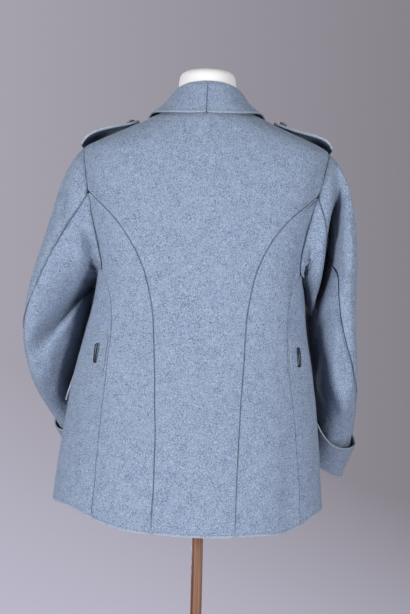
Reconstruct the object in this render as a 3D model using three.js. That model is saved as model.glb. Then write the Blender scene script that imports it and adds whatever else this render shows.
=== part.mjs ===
// A wool military tunic, worn by a limbless dress form on a pole stand.
// Millimetres, +Z up. The tunic's front faces -Y and the wearer's left is +X.
// The origin is on the floor, under the middle of the stand's base.
//
// The body is one smooth surface, given by rings from hem to neck. A point on it has a turn, in degrees from
// the centre back (positive towards the wearer's left, 180 at the centre front), and a level, which is the
// height of its ring at the side. Every panel is a wall of cloth between two grids on that surface.

import * as THREE from "three";

// ---------------------------------------------------------------- driving sizes

const CLOTH = 2.4; // thick fulled wool
const SEAM = 0.3; // between two pieces where they are sewn
const LAID = 0.5; // between a panel and a piece that lies on it
const COLLAR_CLOTH = 3.2; // two layers pressed together
const STRAP_CLOTH = 4.2; // two layers and the turned edges
const FLAP_CLOTH = 3.2;
const CUFF_CLOTH = 3;
const LAP = 18; // each front passes the centre line by this much
const LAP_EASE = 66; // and the left one rises over the right one across this width
const LAP_RISE = CLOTH + 1.4;

const HEM = 788;
const UNDERARM = 1195; // level of the armhole's lowest point
const SHOULDER = 1417; // level of the shoulder point, the armhole's highest
const NECK = 1483;
const PRINCESS_TOP = 1330; // level at which the curved back seam reaches the armhole
const PRINCESS_TIP = 1.5; // degrees left at the side panel's pointed top
const BACK_SLEEVE_SEAM = 1330;
const FRONT_SLEEVE_SEAM = 1238;

const table = (columns, rows) =>
  rows.map((row) => Object.fromEntries(columns.split(" ").map((name, i) => [name, row[i]])));

// Half widths to the left and right, depths to front and back, and the heights of each ring there. lean lifts
// the ring on the left and lowers it on the right. square is the power of the ring's superellipse.
const BODY = table("level left right front back frontZ backZ lean square", [
  [788, 259, 221, 178, 166, 762, 755, 5, 2.2],
  [835, 254, 217, 173, 161, 815, 809, 4, 2.2],
  [882, 247, 214, 168, 154, 868, 864, 2, 2.2],
  [930, 240, 211, 161, 146, 921, 918, 1, 2.2],
  [978, 233, 205, 154, 137, 973, 971, 0, 2.25],
  [1025, 224, 198, 147, 128, 1023, 1022, 0, 2.3],
  [1065, 214, 191, 141, 120, 1064, 1064, 0, 2.35],
  [1100, 205, 186, 136, 115, 1100, 1100, 0, 2.4],
  [1135, 197, 184, 133, 113, 1135, 1135, 0, 2.5],
  [1167, 190, 181, 132, 113, 1167, 1167, 0, 2.6],
  [1195, 187, 178, 133, 114, 1194, 1195, 0, 2.7],
  [1238, 195, 182, 134, 115, 1234, 1237, 0, 2.8],
  [1293, 207, 194, 131, 115, 1279, 1289, 0, 2.9],
  [1350, 215, 210, 122, 111, 1327, 1343, 0, 2.9],
  [1392, 217, 216, 112, 103, 1363, 1383, 0, 2.7],
  [1417, 213, 213, 105, 96, 1384, 1409, 0, 2.5],
  [1441, 160, 160, 97, 88, 1401, 1436, 0, 2.3],
  [1463, 112, 112, 90, 78, 1413, 1459, 0, 2.15],
  [1483, 69, 69, 84, 67, 1424, 1477, 0, 2],
]);
const SKIRT_LEVELS = [HEM, 840, 900, 960, 1015, 1062, 1100, 1135, 1167];
const ARMHOLE_LEVELS = [UNDERARM, 1202, 1216, 1238, 1268, 1300, 1330, 1350, 1372, 1392, 1407, SHOULDER];
const NECK_LEVELS = [1441, 1463, NECK];
const TIP_LEVEL = 1333; // one more row of the back panel, just over the side panels' tops

// Soft folds of the skirt: a line from one turn and level to another, with its rise at the hem (negative is a
// hollow) and the width over which it fades, in degrees.
const SKIRT_FOLDS = table("turn level toTurn toLevel rise width", [
  [46, 780, 54, 1060, -6, 7],
  [66, 780, 64, 960, 4, 8],
  [108, 780, 100, 930, -5, 9],
  [132, 780, 128, 900, 4, 9],
  [-45, 780, -50, 1080, -6, 7],
  [-62, 780, -60, 980, 3, 8],
  [-112, 780, -104, 950, -4, 9],
  [-20, 780, -16, 900, 2, 8],
  [24, 780, 20, 880, 3, 8],
]);

// The hem hangs unevenly: at a turn it lies lower or higher by dz, over a width in degrees.
const HEM_SWAY = table("turn dz width", [
  [-41, -10, 14],
  [-64, 8, 12],
  [56, 11, 14],
  [24, -3, 12],
]);
const HEM_SWAY_HEIGHT = 150;

// The armhole's edges, in degrees behind and before the side line.
const ARMHOLE = table("level back front", [
  [1195, 27, 27],
  [1202, 28.5, 8],
  [1216, 29, -12],
  [1238, 29, -26],
  [1266, 29, -35],
  [1293, 28, -38],
  [1330, 27, -37],
  [1350, 26, -35],
  [1372, 23, -31],
  [1392, 18, -23],
  [1407, 11, -13],
  [1417, 0, 0],
]);

// How far the curved back seams and the side seams lie from the middle, on the left and on the right.
const PRINCESS = table("level left right", [
  [788, 76, 61],
  [930, 74, 66],
  [1065, 80, 72],
  [1135, 85, 77],
  [1167, 93, 82],
  [1202, 104, 92],
  [1238, 120, 108],
  [1266, 138, 126],
  [1293, 160, 149],
  [1312, 179, 171],
  [1330, 196, 190],
]);
const SIDE_SEAM = table("level left right", [
  [788, 182, 176],
  [930, 171, 166],
  [1065, 158, 147],
  [1100, 155, 146],
  [1135, 157, 147],
  [1167, 163, 152],
  [1195, 173, 164],
]);

// Each sleeve under the arm, as rings: their centres (x is the distance from the middle of the body), their
// half sizes across and from front to back, how far their front is drawn in towards the body, as a slope, how
// far the seams have turned round the arm, and how far the ring slants down outwards and up at the back, as
// slopes.
const SLEEVES = {
  left: table("x y z across deep drawn twist slant pitch", [
    [253, -2, 1165, 46, 74, 0.4, -2, 0, 0],
    [257, -8, 1115, 44, 72, 0.55, -38, 0, 0],
    [260, -30, 1066, 43, 68, 0.5, -58, 0, 0],
    [262, -74, 1022, 41, 62, 0.35, -60, 0, 0],
    [252, -122, 985, 43, 58, 0.2, -58, 0, 0],
    [238, -160, 952, 45, 56, 0.1, -56, 0.08, 0],
    [230, -194, 921, 46, 54, 0, -54, 0.24, 0.06],
    [222, -223, 893, 46, 53, 0, -52, 0.42, 0.14],
    [217, -248, 868, 46, 52, 0, -50, 0.56, 0.2],
  ]),
  right: table("x y z across deep drawn twist slant pitch", [
    [227, 0, 1165, 38, 78, 0.18, 38, 0, 0],
    [225, -6, 1115, 33, 76, 0.36, 26, 0, 0],
    [230, -20, 1066, 32, 74, 0.4, 8, 0, 0],
    [240, -44, 1015, 33, 68, 0.3, -26, 0, 0],
    [247, -78, 968, 38, 60, 0.06, -50, 0.08, 0.04],
    [244, -107, 930, 43, 57, 0, -54, 0.2, 0.1],
    [240, -130, 899, 47, 55, 0, -54, 0.38, 0.2],
    [236, -150, 874, 46, 53, 0, -54, 0.56, 0.3],
    [232, -168, 850, 46, 52, 0, -54, 0.7, 0.36],
  ]),
};
const CAP_STEPS = [0, 0.08, 0.22, 0.4, 0.6, 0.8]; // shares of the way from the armhole to the first ring
// How far the cloth runs on outwards from the armhole, as a share, and how it leans on reaching that ring.
const CAP = { left: { leave: 0.2, lean: 0.22 }, right: { leave: 0.24, lean: 0 } };
const LEAVING = { out: 0.95, outAtBack: 0.5, fan: 0.3, fall: 0.42, fallUnder: 0.2, fallAtBack: 0.3 };

// Folds of the sleeves, as lines in a view from the back (face 1) or from the front (face -1): rise or hollow,
// and the width over which it fades. x is the distance from the middle of the body.
const SLEEVE_FOLDS = {
  left: table("face x z toX toZ rise width", [
    [1, 236, 1136, 300, 1070, -13, 17],
    [1, 226, 1106, 262, 1082, 5, 14],
    [1, 257, 1325, 262, 1268, -4, 13],
    [1, 240, 1052, 290, 1030, -4, 13],
    [-1, 226, 1060, 300, 1090, -8, 16],
    [-1, 230, 1100, 300, 1118, 4, 14],
  ]),
  right: table("face x z toX toZ rise width", [
    [1, 240, 1358, 232, 1262, -15, 11],
    [1, 232, 1262, 218, 1168, -22, 12],
    [1, 218, 1168, 198, 1126, -14, 13],
    [1, 258, 1330, 256, 1200, 4, 12],
    [1, 215, 1062, 268, 1084, -5, 14],
    [-1, 212, 1040, 262, 1062, -8, 15],
    [-1, 240, 1330, 236, 1230, -5, 15],
  ]),
};

// The turned-back cuffs: how far their edge stands off the sleeve, and how many sleeve rings they cover.
const CUFF_ROWS = 2.2;
const CUFF_FLARE = { left: 5, right: 7 };
// The cuffs' edges lie higher at the back and on the inner side, by these shares of a ring.
const CUFF_RISE = { left: { back: 0.9, inner: 0.3 }, right: { back: 0.6, inner: 1.3 } };

// The turn-down collar, from centre back to centre front: the stand's height, the level on the body that the
// edge reaches, its height over the cloth there, and how far it swings away from the centre front.
const COLLAR = table("turn stand edge lift swing", [
  [0, 50, 1469, 3, 0],
  [30, 47, 1468, 3, 0],
  [60, 35, 1470, 4, 0],
  [90, 22, 1469.5, 5, 0],
  [120, 19, 1457, 6, 2],
  [150, 20, 1424, 7, 12],
  [180, 22, 1397, 8, 36],
]);
const COLLAR_TURNS = [0, 15, 30, 45, 60, 75, 90, 105, 120, 135, 150, 164, 177.5];
const FOLD_RADIUS = COLLAR_CLOTH + 0.8;
const COLLAR_LEAN = 0.2; // how far the stand leans in towards the neck, as a slope

// The shoulder straps, from over the sleeve's head to the buttoned end: how far past the armhole, the level,
// the lifts over the left and right shoulders, and the half width.
const STRAP = table("past level left right half", [
  [11, 1418.6, 1.4, 2, 26],
  [4, 1418.6, 6, 8, 26],
  [0, 1420.5, 11, 11, 26],
  [0, 1427, 13.5, 10.5, 25.5],
  [0, 1434, 12, 7.5, 25],
  [0, 1442, 8, 4.2, 24],
  [0, 1449, 3.6, 2.2, 23],
  [0, 1455, 1.6, 1.4, 21.5],
  [0, 1460, 1, 1, 11],
]);

const STRAP_FRONT = 1.6; // the most that a strap's front edge stands off the coat

const BUTTON = { radius: 11, rim: 2.2, height: 6, sides: 20 };
const STRAP_BUTTON = { radius: 8, rim: 1.8, height: 4.6, sides: 16 };
const BUTTON_LEVELS = [1368, 1276, 1182, 1092, 1002, 907];

// Pieces laid on the fronts: columns of the front panel, counted from the side seam, and levels.
const FRONT_COLUMNS = 12;
const POCKET = { first: 4.9, last: 9.1, bottom: 838, top: 1003 };
const FLAP = { first: 4.6, last: 9.3, bottom: 958, top: 1012 };
const FLAP_CURL = { left: 7, right: 0 }; // how far the flaps' rear corners stand away
const PATCH = { first: 0.12, last: 1.4, bottom: 1021, top: 1086 };
const HOOK = { column: 0.62, level: 1036, wire: 1.4, gap: 3.6, standOff: 6.5, leg: 33 };

// The dress form under the tunic. From FORM_TOUCH up to the neck it follows the tunic's surface from within.
const FORM_LOW = table("level left right front back frontZ backZ lean square", [
  [748, 158, 158, 112, 124, 748, 748, 0, 2.1],
  [752, 166, 166, 120, 132, 752, 752, 0, 2.1],
  [766, 171, 171, 124, 135, 766, 766, 0, 2.1],
  [800, 177, 177, 128, 136, 800, 800, 0, 2.1],
  [882, 182, 182, 130, 132, 882, 882, 0, 2.15],
  [978, 178, 178, 126, 118, 978, 978, 0, 2.2],
  [1065, 163, 163, 118, 103, 1065, 1065, 0, 2.25],
  [1135, 152, 152, 112, 97, 1135, 1135, 0, 2.35],
  [1195, 154, 154, 112, 97, 1194, 1195, 0, 2.45],
  [1238, 162, 162, 114, 99, 1234, 1237, 0, 2.6],
  [1293, 177, 177, 115, 101, 1279, 1289, 0, 2.7],
  [1350, 195, 193, 111, 101, 1327, 1343, 0, 2.7],
]);
const FORM_TOUCH = table("level back front", [
  [1392, 7, 7],
  [1407, 6.6, 6.6],
  [1417, 4, 4.6],
  [1441, CLOTH + 0.5, CLOTH + 1.1],
  [1463, CLOTH + 0.7, CLOTH + 1.2],
  [1474, 4.5, 4.5],
]);
const FORM_HIGH = table("level left right front back frontZ backZ lean square", [
  [1479, 65.5, 65.5, 79, 62.5, 1420, 1471, 0, 2],
  [1488, 59, 59, 71, 58, 1438, 1482, 0, 2],
  [1499, 56, 56, 64, 55, 1462, 1494, 0, 2],
  [1514, 53, 53, 58, 52, 1484, 1510, 0, 2],
  [1534, 51, 51, 52, 51, 1522, 1532, 0, 2],
  [1548, 49.5, 49.5, 50, 49.5, 1545, 1547, 0, 2],
  [1556, 45, 45, 45, 45, 1556, 1556, 0, 2],
  [1560, 37, 37, 37, 37, 1560, 1560, 0, 2],
]);
const FORM_TURN = 12; // degrees between the form's columns, the same as the back panel's at the shoulders

const POLE = { radius: 10, sides: 32 };
const BASE = { foot: 180, radius: 184, edge: 14, boss: 25, height: 36, sides: 64 };

const WOOL = { color: 0x8fa3c0, roughness: 0.95, metalness: 0 };
const BLACK_WIRE = { color: 0x15161a, roughness: 0.4, metalness: 0.7 };
const GREY_METAL = { color: 0x6f7786, roughness: 0.5, metalness: 0.6 };
const WHITE_COVER = { color: 0xf0eeea, roughness: 0.8, metalness: 0 };
const VARNISHED_WOOD = { color: 0x7d4a35, roughness: 0.35, metalness: 0 };

// ---------------------------------------------------------------- helpers

const vector = (x, y, z) => new THREE.Vector3(x, y, z);
const moved = (point, direction, distance) => point.clone().addScaledVector(direction, distance);
const bell = (distance, width) => Math.exp(-((distance / width) ** 2));
const { clamp, degToRad, lerp, smoothstep } = THREE.MathUtils;
const sideName = (side) => (side > 0 ? "left" : "right");

// The row of a table at x, between the two rows around it: straight, or along cubics.
function between(rows, key, x) {
  const above = rows.findIndex((row) => row[key] >= x);
  const at = above < 0 ? rows.length - 2 : Math.max(above - 1, 0);
  const [from, to] = [rows[at], rows[at + 1]];
  return { at, from, to, share: (x - from[key]) / (to[key] - from[key]) };
}

function straightRow(rows, key, x) {
  const { from, to, share } = between(rows, key, x);
  return Object.fromEntries(Object.keys(from).map((name) => [name, lerp(from[name], to[name], share)]));
}

function smoothRow(rows, key, x) {
  const { at, from, to, share } = between(rows, key, clamp(x, rows[0][key], rows.at(-1)[key]));
  const before = rows[Math.max(at - 1, 0)];
  const after = rows[Math.min(at + 2, rows.length - 1)];
  const span = to[key] - from[key];
  const cubic = (name) => {
    const rise = to[name] - from[name];
    const start = (span * (to[name] - before[name])) / (to[key] - before[key]);
    const end = (span * (after[name] - from[name])) / (after[key] - from[key]);
    const bend = 3 * rise - 2 * start - end + share * (start + end - 2 * rise);
    return from[name] + share * (start + share * bend);
  };
  return Object.fromEntries(Object.keys(from).map((name) => [name, cubic(name)]));
}

// A closed geometry with its faces turned outwards.
function solid(points, indices) {
  const volume = indices.reduce((sum, _, i) => {
    if (i % 3) return sum;
    const [a, b, c] = [points[indices[i]], points[indices[i + 1]], points[indices[i + 2]]];
    return sum + a.dot(b.clone().cross(c));
  }, 0);
  const geometry = new THREE.BufferGeometry().setFromPoints(points);
  geometry.setIndex(volume < 0 ? [...indices].reverse() : indices);
  geometry.computeVertexNormals();
  return geometry;
}

// A solid through rings of points, closed by a flat fan at each end.
function loft(rings) {
  const sides = rings[0].length;
  const middle = (ring) => ring.reduce((sum, point) => sum.add(point), vector(0, 0, 0)).divideScalar(sides);
  const points = [...rings.flat(), middle(rings[0]), middle(rings.at(-1))];
  const first = points.length - 2;
  const at = (i, j) => i * sides + (j % sides);
  const indices = [];
  for (let j = 0; j < sides; j++) {
    for (let i = 0; i < rings.length - 1; i++) {
      indices.push(at(i, j), at(i, j + 1), at(i + 1, j + 1), at(i, j), at(i + 1, j + 1), at(i + 1, j));
    }
    indices.push(first, at(0, j + 1), at(0, j));
    indices.push(first + 1, at(rings.length - 1, j), at(rings.length - 1, j + 1));
  }
  return solid(points, indices);
}

function circle(centre, u, v, radius, sides) {
  return Array.from({ length: sides }, (_, j) => {
    const angle = (2 * Math.PI * j) / sides;
    return moved(moved(centre, u, radius * Math.cos(angle)), v, radius * Math.sin(angle));
  });
}

// A solid of revolution: each profile row is a radius and a distance along the axis.
function turned(base, axis, profile, sides) {
  const u = vector(axis.z, axis.x, axis.y).cross(axis).normalize();
  const v = axis.clone().cross(u);
  return loft(profile.map(([radius, along]) => circle(moved(base, axis, along), u, v, radius, sides)));
}

// ---------------------------------------------------------------- the body's surface

function ringPoint(row, turn) {
  const s = Math.sin(degToRad(turn));
  const c = Math.cos(degToRad(turn));
  const size = (Math.abs(s) ** row.square + Math.abs(c) ** row.square) ** (1 / row.square);
  const x = ((s > 0 ? row.left : row.right) * s) / size;
  const y = ((c > 0 ? row.back : row.front) * c) / size;
  const endZ = c > 0 ? row.backZ : row.frontZ;
  return vector(x, y, lerp(endZ, row.level + Math.sign(s) * row.lean, s * s));
}

const plainPoint = (turn, level) => ringPoint(smoothRow(BODY, "level", level), turn);

function bodyNormal(turn, level) {
  const above = plainPoint(turn, Math.min(level + 1.5, NECK));
  const along = above.sub(plainPoint(turn, Math.max(level - 1.5, HEM)));
  const around = plainPoint(turn + 1, level).sub(plainPoint(turn - 1, level));
  return around.cross(along).normalize().negate();
}

function skirtFold(turn, level) {
  return SKIRT_FOLDS.reduce((sum, fold) => {
    const share = clamp((level - fold.level) / (fold.toLevel - fold.level), 0, 1);
    const middle = lerp(fold.turn, fold.toTurn, share);
    return sum + fold.rise * Math.cos((share * Math.PI) / 2) * bell(turn - middle, fold.width);
  }, 0);
}

function hemSway(turn, level) {
  const sway = HEM_SWAY.reduce((sum, row) => sum + row.dz * bell(turn - row.turn, row.width), 0);
  return sway * (1 - smoothstep(level, HEM, HEM + HEM_SWAY_HEIGHT));
}

function bodyPoint(turn, level) {
  const wrapped = turn > 180 ? turn - 360 : turn < -180 ? turn + 360 : turn;
  const point = moved(plainPoint(turn, level), bodyNormal(turn, level), skirtFold(wrapped, level));
  point.z += hemSway(wrapped, level);
  return point;
}

// The turn, between two limits, at which the ring's x has the wanted value.
function turnAtX(level, x, low, high) {
  const rising = plainPoint(high, level).x > plainPoint(low, level).x;
  for (let step = 0; step < 30; step++) {
    const middle = (low + high) / 2;
    const beyond = plainPoint(middle, level).x > x;
    if (beyond === rising) high = middle;
    else low = middle;
  }
  return (low + high) / 2;
}

const armholeTurn = (side, level, edge) => side * (90 - straightRow(ARMHOLE, "level", level)[edge]);
const seamTurn = (side, level, seam) =>
  turnAtX(level, side * smoothRow(seam, "level", level)[sideName(side)], 0, side * 90);
const princessTurn = (side, level) =>
  level < PRINCESS_TOP
    ? seamTurn(side, level, PRINCESS)
    : armholeTurn(side, PRINCESS_TOP, "back") - side * PRINCESS_TIP;
const sideSeamTurn = (side, level) =>
  level < UNDERARM ? seamTurn(side, level, SIDE_SEAM) : armholeTurn(side, UNDERARM, "back");

// ---------------------------------------------------------------- walls of cloth

// Moves a grid's edges inwards along the cloth, to leave half a seam on each side.
function inset(grid, by = SEAM / 2) {
  const last = grid[0].length - 1;
  const loop = [
    ...grid[0].slice(0, last),
    ...grid.slice(0, -1).map((row) => row[last]),
    ...grid.at(-1).slice(1).reverse(),
    ...grid.slice(1).reverse().map((row) => row[0]),
  ];
  const start = loop.map((corner) => corner.point.clone());
  const ways = loop.map(({ inward }, i) =>
    start[(i + 1) % loop.length].clone().sub(start[i]).cross(inward).normalize(),
  );
  const sense = Math.sign(ways[0].dot(grid[1][0].point.clone().sub(start[0])));
  loop.forEach(({ point }, i) => {
    const before = ways[(i + loop.length - 1) % loop.length];
    const sum = before.clone().add(ways[i]);
    point.addScaledVector(sum, (sense * by) / Math.max(1 + before.dot(ways[i]), 0.5));
  });
  return grid;
}

// The closed wall between each corner's point and the one that lies inward of it. A round wall is a tube.
function wall(grid, thickness, round = false) {
  const rows = grid.length;
  const columns = grid[0].length;
  const corners = grid.flat();
  const points = [...corners.map(({ point }) => point)];
  points.push(...corners.map(({ point, inward }) => moved(point, inward, thickness)));
  const outer = (i, j) => i * columns + (j % columns);
  const inner = (i, j) => rows * columns + outer(i, j);
  const indices = [];
  const quad = (a, b, c, d) => indices.push(a, b, c, a, c, d);
  const steps = round ? columns : columns - 1;
  for (let i = 0; i < rows - 1; i++) {
    for (let j = 0; j < steps; j++) {
      quad(outer(i, j), outer(i, j + 1), outer(i + 1, j + 1), outer(i + 1, j));
      quad(inner(i, j), inner(i + 1, j), inner(i + 1, j + 1), inner(i, j + 1));
    }
    if (round) continue;
    quad(inner(i, 0), outer(i, 0), outer(i + 1, 0), inner(i + 1, 0));
    quad(inner(i, steps), inner(i + 1, steps), outer(i + 1, steps), outer(i, steps));
  }
  for (let j = 0; j < steps; j++) {
    quad(inner(0, j), inner(0, j + 1), outer(0, j + 1), outer(0, j));
    quad(outer(rows - 1, j), outer(rows - 1, j + 1), inner(rows - 1, j + 1), inner(rows - 1, j));
  }
  return solid(points, indices);
}

// A point of a grid between its rows and columns.
function gridAt(grid, row, column) {
  const i = Math.min(Math.floor(row), grid.length - 2);
  const j = Math.min(Math.floor(column), grid[0].length - 2);
  const mix = (name) =>
    grid[i][j][name].clone().lerp(grid[i][j + 1][name], column - j)
      .lerp(grid[i + 1][j][name].clone().lerp(grid[i + 1][j + 1][name], column - j), row - i);
  return { point: mix("point"), inward: mix("inward").normalize() };
}

// Every whole number between two values, with the values themselves at the ends.
function stops(from, to) {
  const whole = [];
  for (let value = Math.floor(from) + 1; value < to; value++) whole.push(value);
  return [from, ...whole, to];
}

// A piece that lies on part of a panel, made from the panel's own points.
function laidOn(panel, rows, columns, thickness, lift = () => 0) {
  return stops(...rows).map((row) =>
    stops(...columns).map((column) => {
      const { point, inward } = gridAt(panel, row, column);
      return { point: moved(point, inward, -LAID - thickness - lift(row, column)), inward };
    }),
  );
}

const part = new THREE.Group();
part.name = "military_tunic_on_dress_form";

function add(name, geometry, material) {
  const mesh = new THREE.Mesh(geometry, new THREE.MeshStandardMaterial(material));
  mesh.name = name;
  part.add(mesh);
}

// ---------------------------------------------------------------- sleeves

// The armhole, from the shoulder point down its back edge and up its front edge. round is the angle on the
// sleeve: 0 outwards, 90 at the back, 180 under the arm.
function armholeLoop(side) {
  const stop = (edge) => (level) => {
    const turn = armholeTurn(side, level, edge);
    return { level, edge, point: bodyPoint(turn, level), normal: bodyNormal(turn, level) };
  };
  const loop = [
    ...[...ARMHOLE_LEVELS].reverse().map(stop("back")),
    ...ARMHOLE_LEVELS.slice(1, -1).map(stop("front")),
  ];
  const bottom = ARMHOLE_LEVELS.length - 1;
  const lengths = loop.map(({ point }, i) => point.distanceTo(loop[(i + 1) % loop.length].point));
  const total = (from, to) => lengths.slice(from, to).reduce((sum, length) => sum + length, 0);
  loop.forEach((item, i) => {
    const back = total(0, Math.min(i, bottom)) / total(0, bottom);
    const front = total(bottom, Math.max(i, bottom)) / total(bottom, loop.length);
    item.round = 180 * (back + front);
  });
  return loop;
}

function sleeveRing(side, rows, index, loop) {
  const centre = (i) => vector(side * rows[i].x, rows[i].y, rows[i].z);
  const axis = centre(Math.min(index + 1, rows.length - 1)).sub(centre(Math.max(index - 1, 0))).normalize();
  const across = vector(side, 0, 0).addScaledVector(axis, -side * axis.x).normalize();
  const back = across.clone().cross(axis).multiplyScalar(side);
  const { deep, drawn, twist, slant, pitch } = rows[index];
  const points = loop.map(({ round }) => {
    const angle = degToRad(round + twist);
    const along = deep * Math.sin(angle);
    const aside = rows[index].across * Math.cos(angle) + drawn * along;
    const onPlane = moved(moved(centre(index), across, aside), back, along);
    return moved(onPlane, axis, slant * aside - pitch * along);
  });
  return { axis, points };
}

// The cloth leaves the armhole outwards and falls, more so under the arm and at the back, and fans to the
// front and back.
function leaving(side, round) {
  const angle = degToRad(round);
  const back = Math.max(Math.sin(angle), 0) ** 2;
  const under = 1 - Math.cos(angle);
  const out = LEAVING.out - LEAVING.outAtBack * back;
  const fall = LEAVING.fall + LEAVING.fallUnder * under + LEAVING.fallAtBack * back;
  return vector(side * out, LEAVING.fan * Math.sin(angle), -fall).normalize();
}

function capPoint(side, stop, ring, j, share) {
  const end = ring.points[j];
  const length = stop.point.distanceTo(end);
  const cap = CAP[sideName(side)];
  const leave = moved(stop.point, leaving(side, stop.round), cap.leave * length);
  const arrive = moved(end, ring.axis.clone().add(vector(side * cap.lean, 0, 0)), -0.32 * length);
  return new THREE.CubicBezierCurve3(stop.point, leave, arrive, end).getPoint(share);
}

function gridNormals(points, sense) {
  const columns = points[0].length;
  return points.map((row, i) =>
    row.map((_, j) => {
      const low = points[Math.min(i + 1, points.length - 1)][j];
      const along = low.clone().sub(points[Math.max(i - 1, 0)][j]);
      const around = row[(j + 1) % columns].clone().sub(row[(j + columns - 1) % columns]);
      return along.cross(around).normalize().multiplyScalar(sense);
    }),
  );
}

function foldRise(folds, side, point, normal) {
  return folds.reduce((sum, fold) => {
    const line = new THREE.Line3(vector(fold.x, 0, fold.z), vector(fold.toX, 0, fold.toZ));
    const flat = vector(side * point.x, 0, point.z);
    const distance = line.closestPointToPoint(flat, true, vector(0, 0, 0)).distanceTo(flat);
    return sum + fold.rise * bell(distance, fold.width) * smoothstep(fold.face * normal.y, -0.2, 0.5);
  }, 0);
}

// The whole sleeve as a closed grid, with the armhole as its first row. There its walls are cut along the
// mitre with the body's cloth.
function sleeveGrid(side, loop) {
  const rows = SLEEVES[sideName(side)];
  const rings = rows.map((_, i) => sleeveRing(side, rows, i, loop));
  const cap = CAP_STEPS.map((share) => loop.map((stop, j) => capPoint(side, stop, rings[0], j, share)));
  const points = [...cap, ...rings.map((ring) => ring.points)];
  const smooth = gridNormals(points, side);
  const folded = points.map((row, i) =>
    row.map((point, j) => {
      const rise = foldRise(SLEEVE_FOLDS[sideName(side)], side, point, smooth[i][j]);
      return moved(point, smooth[i][j], rise * smoothstep(i, 0, 2));
    }),
  );
  const normals = gridNormals(folded, side);
  return folded.map((row, i) =>
    row.map((point, j) => {
      if (i > 0) return { point, inward: normals[i][j].clone().negate() };
      const sum = loop[j].normal.clone().add(normals[0][j]);
      return { point, inward: sum.divideScalar(-Math.max(1 + loop[j].normal.dot(normals[0][j]), 0.85)) };
    }),
  );
}

const copied = ({ point, inward }) => ({ point: point.clone(), inward: inward.clone() });
const columnsOf = (grid, columns) => grid.map((row) => columns.map((j) => copied(row[j % row.length])));

function cuffGrid(side, sleeve) {
  const closed = sleeve.map((row) => [...row, row[0]]);
  const end = sleeve.length - 1;
  const { back, inner } = CUFF_RISE[sideName(side)];
  return [0, 0.35, 0.7, 1].map((share) =>
    sleeve[0].map((_, j) => {
      const inwards = closed[end][j].inward;
      const rise = back * Math.max(-inwards.y, 0) + inner * Math.max(side * inwards.x, 0);
      const { point, inward } = gridAt(closed, end - (CUFF_ROWS + rise) * share, j);
      const flare = CUFF_FLARE[sideName(side)] * share ** 2;
      return { point: moved(point, inward, -LAID - CUFF_CLOTH - flare), inward };
    }),
  );
}

const armholes = {};
for (const side of [1, -1]) {
  const name = sideName(side);
  const loop = armholeLoop(side);
  const sleeve = sleeveGrid(side, loop);
  armholes[name] = loop.map(({ level, edge }, j) => ({ level, edge, ...copied(sleeve[0][j]) }));
  const backSeam = loop.findIndex(({ level, edge }) => level === BACK_SLEEVE_SEAM && edge === "back");
  const frontSeam = loop.findIndex(({ level, edge }) => level === FRONT_SLEEVE_SEAM && edge === "front");
  const under = stops(backSeam, frontSeam);
  const upper = stops(frontSeam, backSeam + loop.length);
  add(`sleeve_upper_${name}`, wall(inset(columnsOf(sleeve, upper)), CLOTH), WOOL);
  add(`sleeve_under_${name}`, wall(inset(columnsOf(sleeve, under), SEAM), CLOTH), WOOL);
  add(`cuff_${name}`, wall(cuffGrid(side, sleeve), CUFF_CLOTH, true), WOOL);
}

// The corner of a body panel on the armhole's edge, the same as the sleeve's.
function armholeCorner(side, level, edge) {
  const found = armholes[sideName(side)].filter((stop) => {
    return stop.edge === edge || stop.level === UNDERARM || stop.level === SHOULDER;
  });
  const { from, to, share } = between(found.sort((a, b) => a.level - b.level), "level", level);
  const point = from.point.clone().lerp(to.point, share);
  return { point, inward: from.inward.clone().lerp(to.inward, share) };
}

// ---------------------------------------------------------------- body panels

// A panel between two edges. Each edge gives, at a level, its turn, and the corner itself on an armhole.
function panelGrid(levels, columns, fromEdge, toEdge, rise = () => 0) {
  return levels.map((level) => {
    const from = fromEdge(level);
    const to = toEdge(level);
    return Array.from({ length: columns }, (_, j) => {
      const turn = lerp(from.turn, to.turn, j / (columns - 1));
      if (j === 0 && from.corner) return from.corner;
      if (j === columns - 1 && to.corner) return to.corner;
      const point = bodyPoint(turn, level);
      point.y -= rise(point.x);
      return { point, inward: bodyNormal(turn, level).negate() };
    });
  });
}

const armholeEdge = (side, edge) => (level) => ({
  turn: armholeTurn(side, level, edge),
  corner: armholeCorner(side, level, edge),
});

const backEdge = (side) => (level) => {
  if (level <= PRINCESS_TOP) return { turn: princessTurn(side, level) };
  return level <= SHOULDER ? armholeEdge(side, "back")(level) : { turn: side * 90 };
};
const princessEdge = (side) => (level) => ({ turn: princessTurn(side, level) });
const sideBodyEdge = (side) => (level) =>
  level < UNDERARM ? { turn: sideSeamTurn(side, level) } : armholeEdge(side, "back")(level);
const frontSideEdge = (side) => (level) => {
  if (level < UNDERARM) return { turn: sideSeamTurn(side, level) };
  return level <= SHOULDER ? armholeEdge(side, "front")(level) : { turn: side * 90 };
};
const frontLapEdge = (side) => (level) => ({ turn: turnAtX(level, -side * LAP, side * 120, side * 240) });

const allLevels = [...SKIRT_LEVELS, ...ARMHOLE_LEVELS, ...NECK_LEVELS];
const backLevels = [...allLevels, TIP_LEVEL].sort((a, b) => a - b);
const sideLevels = allLevels.filter((level) => level <= PRINCESS_TOP);
const lapRise = (x) => LAP_RISE * (1 - smoothstep(x, LAP + 14, LAP + LAP_EASE));

add("back_panel", wall(inset(panelGrid(backLevels, 16, backEdge(-1), backEdge(1))), CLOTH), WOOL);
const fronts = {};
for (const side of [1, -1]) {
  const name = sideName(side);
  const sideGrid = panelGrid(sideLevels, 6, princessEdge(side), sideBodyEdge(side));
  add(`side_body_${name}`, wall(inset(sideGrid), CLOTH), WOOL);
  const rise = side > 0 ? lapRise : () => 0;
  fronts[name] = inset(panelGrid(allLevels, FRONT_COLUMNS, frontSideEdge(side), frontLapEdge(side), rise));
  add(`front_${name}`, wall(fronts[name], CLOTH), WOOL);
}

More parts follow.
